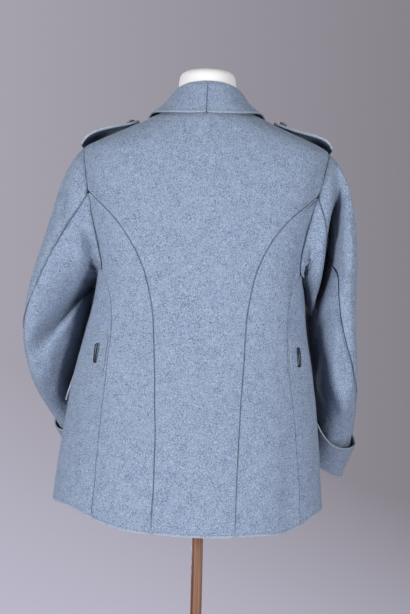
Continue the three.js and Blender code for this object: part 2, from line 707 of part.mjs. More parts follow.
// ---------------------------------------------------------------- pieces laid on the fronts

const rowOf = (level) => {
  const { at, share } = between(allLevels.map((value) => ({ value })), "value", level);
  return at + share;
};
const placed = ({ first, last, bottom, top }) => [[rowOf(bottom), rowOf(top)], [first, last]];

// A black hairpin of wire: its legs come out of the cloth and turn up, and its bend stands free.
function hairpin(base, out, up, along) {
  const at = (a, u, o) => moved(moved(moved(base, along, a), up, u), out, o);
  const half = HOOK.gap / 2;
  const leg = (a) => [at(a, 0, SEAM), at(a, 0.3, 2.6), at(a, 2.2, 5.2), at(a, 7, HOOK.standOff)];
  const top = HOOK.leg - half;
  const bend = [at(-half, top, HOOK.standOff), at(0, HOOK.leg, HOOK.standOff), at(half, top, HOOK.standOff)];
  const stopsAlong = [...leg(-half), ...bend, ...leg(half).reverse()];
  const curve = new THREE.CatmullRomCurve3(stopsAlong, false, "centripetal");
  const count = 40;
  const rings = Array.from({ length: count + 1 }, (_, i) => {
    const ends = i === 0 ? out : i === count ? out.clone().negate() : curve.getTangentAt(i / count);
    const u = along.clone().cross(up).cross(ends).normalize();
    const safe = u.lengthSq() > 0.5 ? u : along.clone();
    return circle(curve.getPointAt(i / count), safe, ends.clone().cross(safe), HOOK.wire, 8);
  });
  return loft(rings);
}

for (const side of [1, -1]) {
  const name = sideName(side);
  const front = fronts[name];
  add(`hip_pocket_${name}`, wall(laidOn(front, ...placed(POCKET), CLOTH), CLOTH), WOOL);
  const curl = (row, column) => {
    const low = clamp((rowOf(FLAP.top) - row) / (rowOf(FLAP.top) - rowOf(FLAP.bottom)), 0, 1);
    return LAID + CLOTH + FLAP_CURL[name] * low * (1 - smoothstep(column, FLAP.first, FLAP.first + 1.5));
  };
  const flap = laidOn(front, ...placed(FLAP), FLAP_CLOTH, curl);
  add(`pocket_flap_${name}`, wall(flap, FLAP_CLOTH), WOOL);
  add(`hook_patch_${name}`, wall(laidOn(front, ...placed(PATCH), CLOTH), CLOTH), WOOL);
  const { point, inward } = gridAt(front, rowOf(HOOK.level), HOOK.column);
  const out = inward.clone().negate();
  const up = vector(0, 0, 1).addScaledVector(out, -out.z).normalize();
  const base = moved(point, out, LAID + CLOTH);
  add(`belt_hook_${name}`, hairpin(base, out, up, up.clone().cross(out)), BLACK_WIRE);
}

function button(size, point, normal) {
  const { radius, rim, height, sides } = size;
  const profile = [
    [radius - 0.8, 0],
    [radius, 0.8],
    [radius, rim],
    [radius * 0.86, lerp(rim, height, 0.45)],
    [radius * 0.6, lerp(rim, height, 0.8)],
    [radius * 0.25, height],
  ];
  return turned(moved(point, normal, LAID), normal, profile, sides);
}

BUTTON_LEVELS.forEach((level, i) => {
  const point = bodyPoint(180, level);
  point.y -= LAP_RISE;
  add(`front_button_${i + 1}`, button(BUTTON, point, bodyNormal(180, level)), GREY_METAL);
});

// ---------------------------------------------------------------- shoulder straps

for (const side of [1, -1]) {
  const grid = STRAP.map(({ past, level, half, ...lifts }) => {
    const degree = plainPoint(side * 91, level).distanceTo(plainPoint(side * 90, level));
    return [-1, -0.5, 0, 0.5, 1].map((share) => {
      const turn = side * (90 + (share * half) / degree);
      const lift = lifts[sideName(side)];
      const near = lerp(lift, Math.min(lift, STRAP_FRONT), smoothstep(share, -0.4, 1));
      const raised = moved(bodyPoint(turn, level), bodyNormal(turn, level), near + STRAP_CLOTH);
      return { point: moved(raised, leaving(side, 0), past), inward: bodyNormal(side * 90, level).negate() };
    });
  });
  add(`shoulder_strap_${sideName(side)}`, wall(grid, STRAP_CLOTH), WOOL);
  const { point, inward } = gridAt(grid, 6.8, 2);
  const geometry = button(STRAP_BUTTON, moved(point, inward, -0.8), inward.clone().negate());
  add(`strap_button_${sideName(side)}`, geometry, GREY_METAL);
}

// ---------------------------------------------------------------- collar

// Across the cloth, from the neck seam up the stand, over the fold and down to the outer edge.
function collarColumn(side, turn) {
  const shape = smoothRow(COLLAR, "turn", turn);
  const base = bodyPoint(side * turn, NECK);
  const out = bodyNormal(side * turn, NECK).setZ(0).normalize();
  const up = moved(vector(0, 0, 1), out, -COLLAR_LEAN);
  const foot = moved(moved(base, out, -COLLAR_CLOTH), up, SEAM);
  const centre = moved(moved(foot, out, FOLD_RADIUS), up, shape.stand - FOLD_RADIUS);
  const column = [0, 0.5].map((share) => ({
    point: moved(foot, up, share * (shape.stand - FOLD_RADIUS)),
    inward: out.clone(),
  }));
  for (const degrees of [180, 130, 90, 50, 0]) {
    const way = out.clone().multiplyScalar(Math.cos(degToRad(degrees)));
    way.addScaledVector(up, Math.sin(degToRad(degrees)));
    column.push({ point: moved(centre, way, FOLD_RADIUS), inward: way.negate() });
  }
  const edgeX = bodyPoint(side * turn, shape.edge).x + side * shape.swing;
  const edgeTurn = shape.swing > 0.5 ? turnAtX(shape.edge, edgeX, side * 90, side * 180) : side * turn;
  const normal = bodyNormal(edgeTurn, shape.edge);
  const edge = moved(bodyPoint(edgeTurn, shape.edge), normal, shape.lift + COLLAR_CLOTH);
  const down = plainPoint(edgeTurn, shape.edge - 2).sub(plainPoint(edgeTurn, shape.edge + 2)).normalize();
  const start = column.at(-1).point;
  const length = start.distanceTo(edge);
  const leave = moved(moved(start, up, -0.3 * length), out, 0.06 * length);
  const arrive = moved(moved(edge, down, -0.3 * length), normal, 0.05 * length);
  const fall = new THREE.CubicBezierCurve3(start, leave, arrive, edge);
  const around = bodyPoint(side * (turn + 1), NECK).sub(bodyPoint(side * (turn - 1), NECK));
  for (const share of [0.3, 0.55, 0.78, 1]) {
    const inward = fall.getTangent(share).cross(around).normalize();
    column.push({ point: fall.getPoint(share), inward: inward.multiplyScalar(-Math.sign(inward.dot(normal))) });
  }
  return column;
}

for (const side of [1, -1]) {
  const grid = COLLAR_TURNS.map((turn) => collarColumn(side, turn));
  add(`collar_${sideName(side)}`, wall(inset(grid), COLLAR_CLOTH), WOOL);
}

// ---------------------------------------------------------------- dress form and stand

const formTurns = Array.from({ length: 360 / FORM_TURN }, (_, i) => -90 + FORM_TURN * i);
const formRings = [
  ...FORM_LOW.map((row) => formTurns.map((turn) => ringPoint(row, turn))),
  ...FORM_TOUCH.map(({ level, back, front }) =>
    formTurns.map((turn) => {
      const within = Math.abs(turn) > 90 && turn < 270 ? front : back;
      return moved(plainPoint(turn, level), bodyNormal(turn, level), -within);
    }),
  ),
  ...FORM_HIGH.map((row) => formTurns.map((turn) => ringPoint(row, turn))),
];
add("dress_form", loft(formRings), WHITE_COVER);

const upwards = vector(0, 0, 1);
const poleProfile = [
  [POLE.radius - 1, BASE.height + SEAM],
  [POLE.radius, BASE.height + SEAM + 1],
  [POLE.radius, FORM_LOW[0].level - SEAM],
];
add("stand_pole", turned(vector(0, 0, 0), upwards, poleProfile, POLE.sides), VARNISHED_WOOD);

const baseProfile = [
  [BASE.foot, 0],
  [BASE.radius, 3],
  [BASE.radius, BASE.edge],
  [BASE.radius - 6, BASE.edge + 5],
  [BASE.boss + 14, BASE.edge + 9],
  [BASE.boss, BASE.height - 4],
  [BASE.boss - 4, BASE.height],
];
add("stand_base", turned(vector(0, 0, 0), upwards, baseProfile, BASE.sides), VARNISHED_WOOD);

export default part;
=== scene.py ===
"""A military tunic in horizon-blue wool on a dress form and stand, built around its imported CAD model."""

import math

import bmesh
import bpy
import numpy as np
from mathutils import Matrix, Vector, noise
from mathutils.bvhtree import BVHTree
from mathutils.kdtree import KDTree


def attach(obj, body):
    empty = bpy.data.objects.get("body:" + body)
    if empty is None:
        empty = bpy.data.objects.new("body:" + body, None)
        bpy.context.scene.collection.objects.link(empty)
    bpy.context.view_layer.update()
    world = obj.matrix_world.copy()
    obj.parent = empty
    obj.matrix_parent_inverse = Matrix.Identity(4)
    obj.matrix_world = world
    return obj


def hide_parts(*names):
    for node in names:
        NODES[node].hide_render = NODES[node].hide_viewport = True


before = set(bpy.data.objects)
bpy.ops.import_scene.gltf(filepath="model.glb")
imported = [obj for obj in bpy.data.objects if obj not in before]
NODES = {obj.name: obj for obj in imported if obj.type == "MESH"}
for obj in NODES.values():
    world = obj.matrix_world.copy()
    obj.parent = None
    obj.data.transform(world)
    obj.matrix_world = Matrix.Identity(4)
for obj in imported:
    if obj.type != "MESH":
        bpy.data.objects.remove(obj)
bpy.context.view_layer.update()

bl_info = {
    "name": "Tunic on a dress form",
    "version": (1, 0, 0),
    "blender": (4, 5, 0),
    "location": "View3D > Sidebar > Tunic",
    "description": "Builds a wool service tunic worn on a dress form and stand",
    "category": "Object",
}

SIDES = ("left", "right")
AMBIENT = 0.1  # how much of the backdrop's brightness lights the coat

# Lengths are in metres unless a line says otherwise.
WELD = 1e-5
SHEET_LEVELS = 3
RIM_ANGLE = math.radians(48)  # the faces at a CAD sheet's rim turn more than this
RIM_TURN = math.radians(28)  # and between the faces of a rounded rim, more than this
RIM_CREASE = 0.45  # keeps a rim square for two levels and rounds it at the third
RIM_STEP = 0.002
RIM_MARGIN = 0.005  # the width of the line of quads inside a rim, which a row of stitches follows
NARROW_MARGIN = 0.003  # and on the small pieces

SEWN = ("back_panel", "side_body", "front_left", "front_right", "sleeve_upper", "sleeve_under", "collar")
SEAM_GAP = 0.0028  # rims nearer to each other than this are sewn together
SEAM_DEPTH = 0.0006  # the cloth is drawn in by this much at a seam
SEAM_REACH = 0.0011
STITCH_DEPTH = 0.0004  # and by this much along a row of stitches
STITCH_REACH = 0.0009
# the share of painted shade along a row of stitches
STITCH_SHADE = 0.4
STITCH_NEAR = 1.6  # a row of stitches keeps within this many margins of a free edge
EDGE_REACH = 0.003  # a free edge is rubbed pale over this width
PATCH_WEAR = 0.6  # and the hook patches' edges less so
# How clearly the seam between two panels shows, in its draw-in and its painted shade, by the first letters of their
# names. The others show fully.
LETTERS = 5
SEAM_STRENGTHS = (
    ({"back_", "side_"}, 0.55),
    ({"side_", "front"}, 0.25),
    ({"colla"}, 0.45),
    ({"sleev"}, 0.35),
    ({"back_", "sleev"}, 0.6),
    ({"side_", "sleev"}, 0.6),
    ({"front", "sleev"}, 0.6),
)

# Where a sleeve is sewn in, and the heights near the bottom of the armhole where the panels' rows crowd.
ARMHOLE_SIDE = 0.13
ARMHOLE_FOOT = 1.15
UNDERARM = 1.195
BAND_LOW, BAND_HIGH = UNDERARM - 0.025, UNDERARM + 0.035
BAND_STEP = 0.015  # the surface's slope is taken over this height below and above the band
BAND_END = 0.178  # the fronts' evened band ends this far from the middle
BAND_FADE = 0.02
BAND_PASSES, LAST_PASSES = 60, 4  # how often a band's points are drawn together, before it is carried through and after
SKIN_STEP = 0.0002  # past a sheet's outer side, on the way to its inner side
CROWDED_FRONT = -0.05  # the crowded rows lie in front of this and between these distances from the middle
CROWDED_SIDE = (0.06, 0.17)

NOISE_SEED = 7  # the same unevenness each time
UNEVENNESS = ((7.0, 0.0022), (19.0, 0.0009), (47.0, 0.0004))  # noise scales and how far each moves the cloth
FOLD_STEP = 5  # millimetres
FULL_DEPTH = 0.045  # a fold this deep has the full painted shade
COVER_REACH = 0.045  # cloth nearer than this to other cloth that faces it gets painted shade
COVER_START = 0.004
STRAP_COVER = 0.4  # the share of that painted shade on the shoulder straps

COLLAR_TOP = 1.49  # the form shows above this height
FORM_CLEAR = 0.0035  # how far the form stays clear of the cloth
FORM_FADE = 0.04
NECK_ROUND = 0.022  # the top of the form's neck is rounded off over this height
NECK_PULL = (0.26, 0.26, 0.25)
HOOK_HEIGHT = 0.5  # the belt hooks' height over the cloth, as a share of the CAD bodies'

# Each sheet of cloth: the width and length it was cut to, in metres, and the share of that which the cut fills.
CUTS = {
    "back_panel": (0.44, 0.72, 0.57),
    "side_body": (0.16, 0.58, 0.55),
    "front": (0.42, 0.74, 0.8),
    "sleeve_upper": (0.26, 0.62, 0.76),
    "sleeve_under": (0.2, 0.56, 0.74),
    "cuff": (0.34, 0.1, 0.96),
    "collar": (0.25, 0.15, 0.7),
    "shoulder_strap": (0.045, 0.15, 0.93),
    "hip_pocket": (0.17, 0.2, 0.98),
    "pocket_flap": (0.18, 0.07, 0.98),
    "hook_patch": (0.05, 0.066, 0.96),
}

# Creases and soft folds of the worn cloth, laid on it from behind: the panels they move, the way they push the
# cloth in x and y, their widths to the left and right of the way they run, and a line of points (x, z, how far),
# all in millimetres. Less than nothing is a hollow.
# A hollow's depth also darkens the wool with painted shade.
FOLDS = (
    # the deep fold down the back of the right sleeve, the roll beside it and the hollow below it
    ("sleeve", (-0.2, 1), (7, 11), (
        (-236, 1357, 0), (-236, 1332, -12), (-236, 1315, -30), (-232, 1292, -44), (-229, 1257, -52),
        (-227, 1220, -54), (-223, 1197, -54), (-219, 1173, -54), (-213, 1150, -50), (-205, 1133, -36),
        (-197, 1113, -14),
    )),
    ("sleeve", (0, 1), (12, 12), ((-206, 1300, 0), (-199, 1250, 5), (-199, 1195, 7), (-200, 1160, 4))),
    ("sleeve_under", (1, 0), (12, 12), (
        (-180, 1214, 0), (-184, 1198, 11), (-188, 1175, 14), (-192, 1148, 10), (-194, 1124, 0),
    )),
    ("sleeve_under", (0.5, 1), (15, 15), (
        (-192, 1224, 0), (-192, 1200, 14), (-193, 1178, 20), (-196, 1154, 16), (-201, 1126, 0),
    )),
    # the right forearm's inner side and its edge in the light
    ("sleeve", (0, 1), (10, 18), (
        (-219, 1142, 0), (-213, 1108, -16), (-208, 1072, -22), (-208, 1035, -22), (-210, 992, -16), (-222, 957, -8),
        (-234, 928, 0),
    )),
    ("sleeve", (0, 1), (15, 8), (
        (-232, 1121, 0), (-229, 1090, 5), (-227, 1055, 7), (-228, 1027, 8), (-238, 990, 8), (-254, 960, 6),
        (-268, 935, 0),
    )),
    # the crease of the left elbow and the dark corner where it meets the body
    ("sleeve", (0, 1), (9, 17), (
        (177, 1210, 0), (187, 1194, -16), (199, 1172, -26), (223, 1142, -26), (251, 1104, -24), (275, 1075, -19),
        (292, 1057, -13), (306, 1042, -4),
    )),
    ("sleeve", (0, 1), (20, 20), (
        (179, 1208, 0), (189, 1185, -28), (199, 1160, -46), (206, 1136, -44), (211, 1110, -18), (213, 1088, 0),
    )),
    ("sleeve_under", (-1, 0), (12, 12), (
        (195, 1203, 0), (198, 1185, 9), (199, 1160, 12), (204, 1136, 8), (209, 1114, 0),
    )),
    # the left forearm's inner side and its edge in the light
    ("sleeve", (0, 1), (15, 7), (
        (206, 1110, -6), (217, 1078, -12), (227, 1041, -14), (233, 1009, -14), (243, 972, -12), (251, 943, -4),
    )),
    ("sleeve", (0, 1), (8, 15), (
        (220, 1103, 0), (227, 1078, 6), (239, 1049, 9), (249, 1016, 9), (257, 983, 7), (264, 954, 0),
    )),
    # dents over the left sleeve's seam and beside the body
    ("sleeve", (0, 1), (9, 9), ((246, 1330, 0), (247, 1300, -6), (246, 1250, 0))),
    ("sleeve", (0, 1), (8, 8), ((207, 1272, 0), (199, 1236, -14), (192, 1194, -6))),
    ("sleeve", (0, 1), (12, 12), ((224, 1266, 0), (215, 1225, 5), (204, 1186, 0))),
    # the top of the right side seam
    ("", (0, 1), (4, 7), ((-170, 1240, 0), (-160, 1205, -4), (-153, 1172, -4), (-150, 1130, 0))),
)


def mm(*values):
    """Millimetres as metres."""
    return tuple(value / 1000 for value in values)


# ---------------------------------------------------------------- the coat's surface, for placing folds on it
def merged_tree(names):
    """One search tree of the CAD bodies with these names."""
    points, faces = [], []
    for name in names:
        mesh = NODES[name].data
        first = len(points)
        points += [v.co.copy() for v in mesh.vertices]
        faces += [[first + i for i in face.vertices] for face in mesh.polygons]
    return BVHTree.FromPolygons(points, faces)


CLOTH_NODES = sorted(name for name in NODES if any(name.startswith(cut) for cut in CUTS))
COAT_TREE = merged_tree(CLOTH_NODES)


def fold_line(points):
    """The fold's points on the coat's back, close together, and how far it pushes at each."""
    rows = []
    for first, last in zip(points, points[1:]):
        steps = max(1, round(math.hypot(last[0] - first[0], last[1] - first[1]) / FOLD_STEP))
        rows += [[a + (b - a) * i / steps for a, b in zip(first, last)] for i in range(steps)]
    rows.append(points[-1])
    hits = []
    for x, z, rise in rows:
        place = COAT_TREE.ray_cast(Vector(mm(x, 600, z)), Vector((0, -1, 0)))[0]
        if place:
            hits.append((*place, rise / 1000))
    hits = smoothed(np.array(hits), 6)
    return hits[:, :3], hits[:, 3]


def rim_points(node):
    """Points along a CAD sheet's rims, close together."""
    bm = flat_copy(node)
    found = []
    for edge in bm.edges:
        if edge.calc_face_angle(0) > RIM_ANGLE:
            first, last = (vert.co for vert in edge.verts)
            steps = max(1, math.ceil(edge.calc_length() / RIM_STEP))
            found += [first.lerp(last, i / steps) for i in range(steps + 1)]
    bm.free()
    return [point for point in found if not crowded(node, point)]


def crowded(node, point):
    """Whether a point lies where a front's rows crowd in front of the armhole, away from any rim."""
    return (
        node.startswith("front")
        and point.y < CROWDED_FRONT
        and CROWDED_SIDE[0] < abs(point.x) < CROWDED_SIDE[1]
        and BAND_LOW < point.z < BAND_HIGH
    )


def tree_of(points):
    """A search tree of points."""
    tree = KDTree(len(points))
    for index, point in enumerate(points):
        tree.insert(point, index)
    tree.balance()
    return tree


def smoothed(rows, passes):
    """Rows averaged with their neighbours."""
    for _ in range(passes):
        rows = np.vstack([rows[:1], (rows[:-2] + 2 * rows[1:-1] + rows[2:]) / 4, rows[-1:]])
    return rows


class Drape:
    """Moves points of the cloth by the folds and by the soft unevenness of worn wool, alike on every panel."""

    def __init__(self):
        noise.seed_set(NOISE_SEED)
        self.folds = []
        for names, (push_x, push_y), widths, points in FOLDS:
            line, rise = fold_line(points)
            away = np.array((push_x, push_y, 0)) / math.hypot(push_x, push_y)
            left = np.cross((0, 1, 0), np.gradient(line, axis=0))
            left /= np.linalg.norm(left, axis=1, keepdims=True)
            self.folds.append((names, line, left, away, rise, mm(*widths)))

    def shift(self, points, node):
        """The way each point of a panel moves, and how deep it lies in a fold, which sets the painted shade there."""
        moved, deep = np.zeros_like(points), np.zeros(len(points))
        for names, line, left, way, rise, widths in self.folds:
            if not node.startswith(names):
                continue
            reach = 3 * max(widths)
            near = np.all((points > line.min(0) - reach) & (points < line.max(0) + reach), axis=1)
            away = points[near][:, None, :] - line[None, :, :]
            gap = np.linalg.norm(away, axis=2)
            nearest = gap.argmin(1)
            row = np.arange(len(nearest))
            aside = (away[row, nearest] * left[nearest]).sum(1)
            width = np.where(aside > 0, widths[0], widths[1])
            push = rise[nearest] * np.exp(-((gap[row, nearest] / width) ** 2))
            moved[near] += push[:, None] * way
            deep[near] += np.maximum(-push, 0)
        for scale, size in UNEVENNESS:
            moved += np.array([noise.noise_vector(Vector(p) * scale) for p in points]) * size
        return moved, deep


# ---------------------------------------------------------------- meshes
def points_of(piece, kind="co"):
    """A piece's points, or its normals, as rows."""
    rows = np.empty(len(piece.data.vertices) * 3)
    piece.data.vertices.foreach_get(kind, rows)
    return rows.reshape(-1, 3)


def put_points(piece, rows):
    """Writes a piece's points back from rows."""
    piece.data.vertices.foreach_set("co", rows.ravel())
    piece.data.update()


def new_piece(bm, name, levels=0):
    """An object from a mesh under construction, smoothed for good by some levels of subdivision."""
    mesh = bpy.data.meshes.new(name)
    bm.to_mesh(mesh)
    bm.free()
    piece = bpy.data.objects.new(name, mesh)
    bpy.context.scene.collection.objects.link(piece)
    if levels:
        subdivide = piece.modifiers.new("Smooth", "SUBSURF")
        subdivide.levels = subdivide.render_levels = levels
        depsgraph = bpy.context.evaluated_depsgraph_get()
        fine = bpy.data.meshes.new_from_object(piece.evaluated_get(depsgraph))
        piece.modifiers.clear()
        piece.data = fine
    return piece


def flat_copy(node):
    """The CAD body's mesh, merged and with its triangles joined to quads."""
    bm = bmesh.new()
    bm.from_mesh(NODES[node].data)
    bmesh.ops.remove_doubles(bm, verts=bm.verts, dist=WELD)
    bmesh.ops.join_triangles(
        bm,
        faces=bm.faces[:],
        angle_face_threshold=math.radians(50),
        angle_shape_threshold=math.radians(60),
        topology_influence=1.0,
    )
    return bm


def skins(bm):
    """The faces of each side of a sheet, the largest side first, parted by its rims."""
    left, sides = dict.fromkeys(bm.faces), []
    while left:
        side, waiting = [], [left.popitem()[0]]
        while waiting:
            face = waiting.pop()
            side.append(face)
            for edge in face.edges:
                if edge.calc_face_angle(0) < RIM_ANGLE:
                    for other in edge.link_faces:
                        if other in left:
                            del left[other]
                            waiting.append(other)
        sides.append(side)
    return sorted(sides, key=lambda side: -sum(face.calc_area() for face in side))


def sheet_mesh(node, margin):
    """A sheet of cloth as a smooth piece: rims kept, and a line of quads along them on both sides."""
    bm = flat_copy(node)
    crease = bm.edges.layers.float.new("crease_edge")
    for edge in bm.edges:
        if edge.calc_face_angle(0) > RIM_ANGLE:
            edge[crease] = RIM_CREASE
    lines = []
    for side in skins(bm)[:2]:
        made = bmesh.ops.inset_region(
            bm, faces=side, use_boundary=True, use_even_offset=False, thickness=margin, depth=0
        )
        lines = lines or chains(set(made["faces"]), set(side))
    bm.normal_update()
    inner = bm.verts.layers.float.new("inner")
    for side in skins(bm)[:2]:
        if sum(face.normal.y * face.calc_area() for face in side) > 0:
            for vert in {vert for face in side for vert in face.verts}:
                vert[inner] = 1
    # painted shade where other cloth faces this cloth, baked into the colour
    hidden = bm.verts.layers.float.new("hidden")
    cover = STRAP_COVER if node.startswith("shoulder") else 1
    for vert in bm.verts:
        vert[hidden] = hiddenness(vert.co, vert.normal) * cover
    piece = new_piece(bm, node + "_cloth", SHEET_LEVELS)
    if node.startswith(("front", "side_body", "back")):
        even_out(node, piece)
    return piece, lines


def even_out(node, piece):
    """Smooths a panel near the bottom of the armhole, where its rows crowd, and leaves its rims."""
    bm = bmesh.new()
    bm.from_mesh(piece.data)
    rim = tree_of(RIMS[node])
    band = [v for v in bm.verts if BAND_LOW < v.co.z < BAND_HIGH and rim.find(v.co)[2] > RIM_STEP]
    smooth_band(bm, band, BAND_PASSES)
    if node.startswith("front"):
        carry_through(bm, band)
        smooth_band(bm, band, LAST_PASSES)
    bm.to_mesh(piece.data)
    bm.free()


def smooth_band(bm, band, passes):
    """Draws each point of a band towards its neighbours, again and again."""
    for _ in range(passes):
        bmesh.ops.smooth_vert(bm, verts=band, factor=0.5, use_axis_x=True, use_axis_y=True, use_axis_z=True)


def carry_through(bm, band):
    """Carries both sides of a front smoothly on from below the band to above it."""
    tree = BVHTree.FromBMesh(bm)
    inner = bm.verts.layers.float["inner"]
    height = BAND_HIGH - BAND_LOW
    inwards = Vector((0, 1, 0))

    def surface(x, z, is_inner):
        place = tree.ray_cast(Vector((x, -1, z)), inwards)[0]
        if place and is_inner:
            place = tree.ray_cast(place + inwards * SKIN_STEP, inwards)[0]
        return place and place.y

    moves = []
    for vert in band:
        x, z = vert.co.x, vert.co.z
        heights = (BAND_LOW - BAND_STEP, BAND_LOW, BAND_HIGH, BAND_HIGH + BAND_STEP)
        found = [surface(x, h, vert[inner] > 0.5) for h in heights]
        if None in found or vert.co.y > 0:
            continue
        under, start, end, over = found
        t = (z - BAND_LOW) / height
        first, last = ((b - a) / BAND_STEP * height for a, b in ((under, start), (end, over)))
        level = (
            (2 * t**3 - 3 * t**2 + 1) * start
            + (t**3 - 2 * t**2 + t) * first
            + (3 * t**2 - 2 * t**3) * end
            + (t**3 - t**2) * last
        )
        share = min(1, max(0, (BAND_END - abs(x)) / BAND_FADE))
        moves.append((vert, (level - vert.co.y) * share))
    for vert, move in moves:
        vert.co.y += move


def chains(rim_faces, side):
    """The closed lines between a rim's faces and the rest of its side, as lists of points."""
    links = {}
    edges = {edge for face in rim_faces for edge in face.edges}
    for edge in sorted(edges, key=lambda edge: sorted(tuple(vert.co) for vert in edge.verts)):
        faces = edge.link_faces
        if len(faces) == 2 and len(rim_faces & set(faces)) == 1 and set(faces) - rim_faces <= side:
            for vert in edge.verts:
                links.setdefault(vert, []).append(edge.other_vert(vert))
    found = []
    while links:
        line, vert = [], next(iter(links))
        while vert is not None:
            line.append(vert.co.copy())
            vert = next((other for other in links.pop(vert) if other in links), None)
        found.append(line + line[:1])
    return found


def drape_piece(node, piece):
    """Moves a piece's points with the cloth and writes, as painted shade, how deep in a fold or behind other cloth they
    lie.
    """
    rows = points_of(piece)
    moved, deep = DRAPE.shift(rows, node)
    hidden = np.empty(len(rows))
    piece.data.attributes["hidden"].data.foreach_get("value", hidden)
    deep = np.clip(np.maximum(deep / FULL_DEPTH, hidden), 0, 1)
    put_points(piece, rows + moved)
    piece.data.attributes.new("deep", "FLOAT", "POINT").data.foreach_set("value", deep)


def hiddenness(place, normal):
    """How much painted shade a point gets from other cloth that faces it: 1 where it lies near, 0 at COVER_REACH and
    beyond, and on top.
    """
    facing, _, distance = COAT_TREE.ray_cast(place + normal * COVER_START, normal, COVER_REACH)[1:]
    if facing is None or facing.dot(normal) > 0:
        return 0
    return (1 - distance / COVER_REACH) * min(1, max(0, 1 - 3 * normal.z))


def mark_rims(node, piece, margin):
    """Draws the cloth in along its seams, writes how near each point is to a seam, which sets the painted shade there,
    and to a free edge, and gives back the free edges' points."""
    bm = bmesh.new()
    bm.from_mesh(piece.data)
    bm.normal_update()
    rims = [
        vert
        for vert in bm.verts
        if not crowded(node, vert.co) and any(edge.calc_face_angle(0) > RIM_TURN for edge in vert.link_edges)
    ]
    trees = {}
    for name, rim in RIMS.items() if node in RIMS else ():
        if name != node:
            trees.setdefault(seam_strength(node, name), []).extend(rim)
    trees = {strength: tree_of(points) for strength, points in trees.items()}
    seams, free = {strength: [] for strength in trees}, []
    for vert in rims:
        gaps = {strength: tree.find(vert.co)[2] for strength, tree in trees.items()}
        near = [strength for strength, gap in gaps.items() if gap < SEAM_GAP]
        if near:
            seams[min(near, key=gaps.get)].append(vert.co.copy())
        elif not node.startswith("sleeve") and not (trees and in_armhole(vert.co)):
            free.append(vert.co.copy())
    # seam: the share of painted shade at each point, fullest in the seams
    seam = np.zeros(len(bm.verts))
    for strength, points in seams.items():
        seam = np.maximum(seam, strength * nearness(bm, points, SEAM_REACH))
    for vert, near in zip(bm.verts, seam):
        vert.co -= vert.normal * (SEAM_DEPTH * near)
    edge = nearness(bm, free, EDGE_REACH) * (PATCH_WEAR if node.startswith("hook_patch") else 1)
    sewn = nearness(bm, free, STITCH_REACH, margin)
    for vert, near in zip(bm.verts, sewn):
        vert.co -= vert.normal * (STITCH_DEPTH * near)
    # painted shade along the row of stitches too
    seam = np.maximum(seam, STITCH_SHADE * sewn)
    bm.to_mesh(piece.data)
    bm.free()
    for name, values in (("seam", seam), ("edge", edge)):
        piece.data.attributes.new(name, "FLOAT", "POINT").data.foreach_set("value", values)
    return free


def seam_strength(one, other):
    """How clearly the seam between two panels shows."""
    kinds = {one[:LETTERS], other[:LETTERS]}
    return next((share for pair, share in SEAM_STRENGTHS if kinds == pair), 1.0)


def in_armhole(point):
    """Whether a point is high on the side of the body, where a sleeve is sewn in."""
    return abs(point.x) > ARMHOLE_SIDE and point.z > ARMHOLE_FOOT


def nearness(bm, points, reach, apart=0.0):
    """From 1 at one distance apart from the points to 0 well away from that, for each vertex."""
    if not points:
        return np.zeros(len(bm.verts))
    tree = tree_of(points)
    gaps = np.array([tree.find(v.co)[2] for v in bm.verts])
    return np.exp(-(((gaps - apart) / reach) ** 2))


def finish_piece(piece, material, slot, *nodes):
    """Gives a piece its material and its body, and hides the CAD nodes it stands for. The slot is not used."""
    piece.data.materials.clear()
    piece.data.materials.append(material)
    piece.data.polygons.foreach_set("use_smooth", [True] * len(piece.data.polygons))
    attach(piece, "root")
    if nodes:
        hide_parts(*nodes)
    return piece


# ---------------------------------------------------------------- materials
def fill(tree, node, inputs):
    """Sets a node's inputs to values or links them from sockets."""
    for name, value in inputs.items():
        if isinstance(value, bpy.types.NodeSocket):
            tree.links.new(value, node.inputs[name])
        else:
            node.inputs[name].default_value = value


def add_node(tree, kind, inputs, **attributes):
    """A new node with its attributes set, and its inputs set or linked."""
    node = tree.nodes.new(kind)
    for name, value in attributes.items():
        setattr(node, name, value)
    fill(tree, node, inputs)
    return node


def object_place(tree):
    """Where a point lies on its object, as a socket."""
    return tree.nodes.new("ShaderNodeTexCoord").outputs["Object"]


def mixed(tree, share, first, second):
    """Two colours mixed, as a socket."""
    inputs = {"Factor": share, "A": first, "B": second}
    return add_node(tree, "ShaderNodeMix", inputs, data_type="RGBA").outputs["Result"]


def new_material(name):
    """A new material and its nodes."""
    material = bpy.data.materials.new(name)
    material.use_nodes = True
    return material, material.node_tree


def set_shader(tree, height, strength, distance, inputs):
    """Sets the shader's inputs, and gives it a bump of a strength and a distance from a height."""
    bump = add_node(tree, "ShaderNodeBump", {"Strength": strength, "Distance": distance, "Height": height})
    fill(tree, tree.nodes["Principled BSDF"], {**inputs, "Normal": bump.outputs["Normal"]})


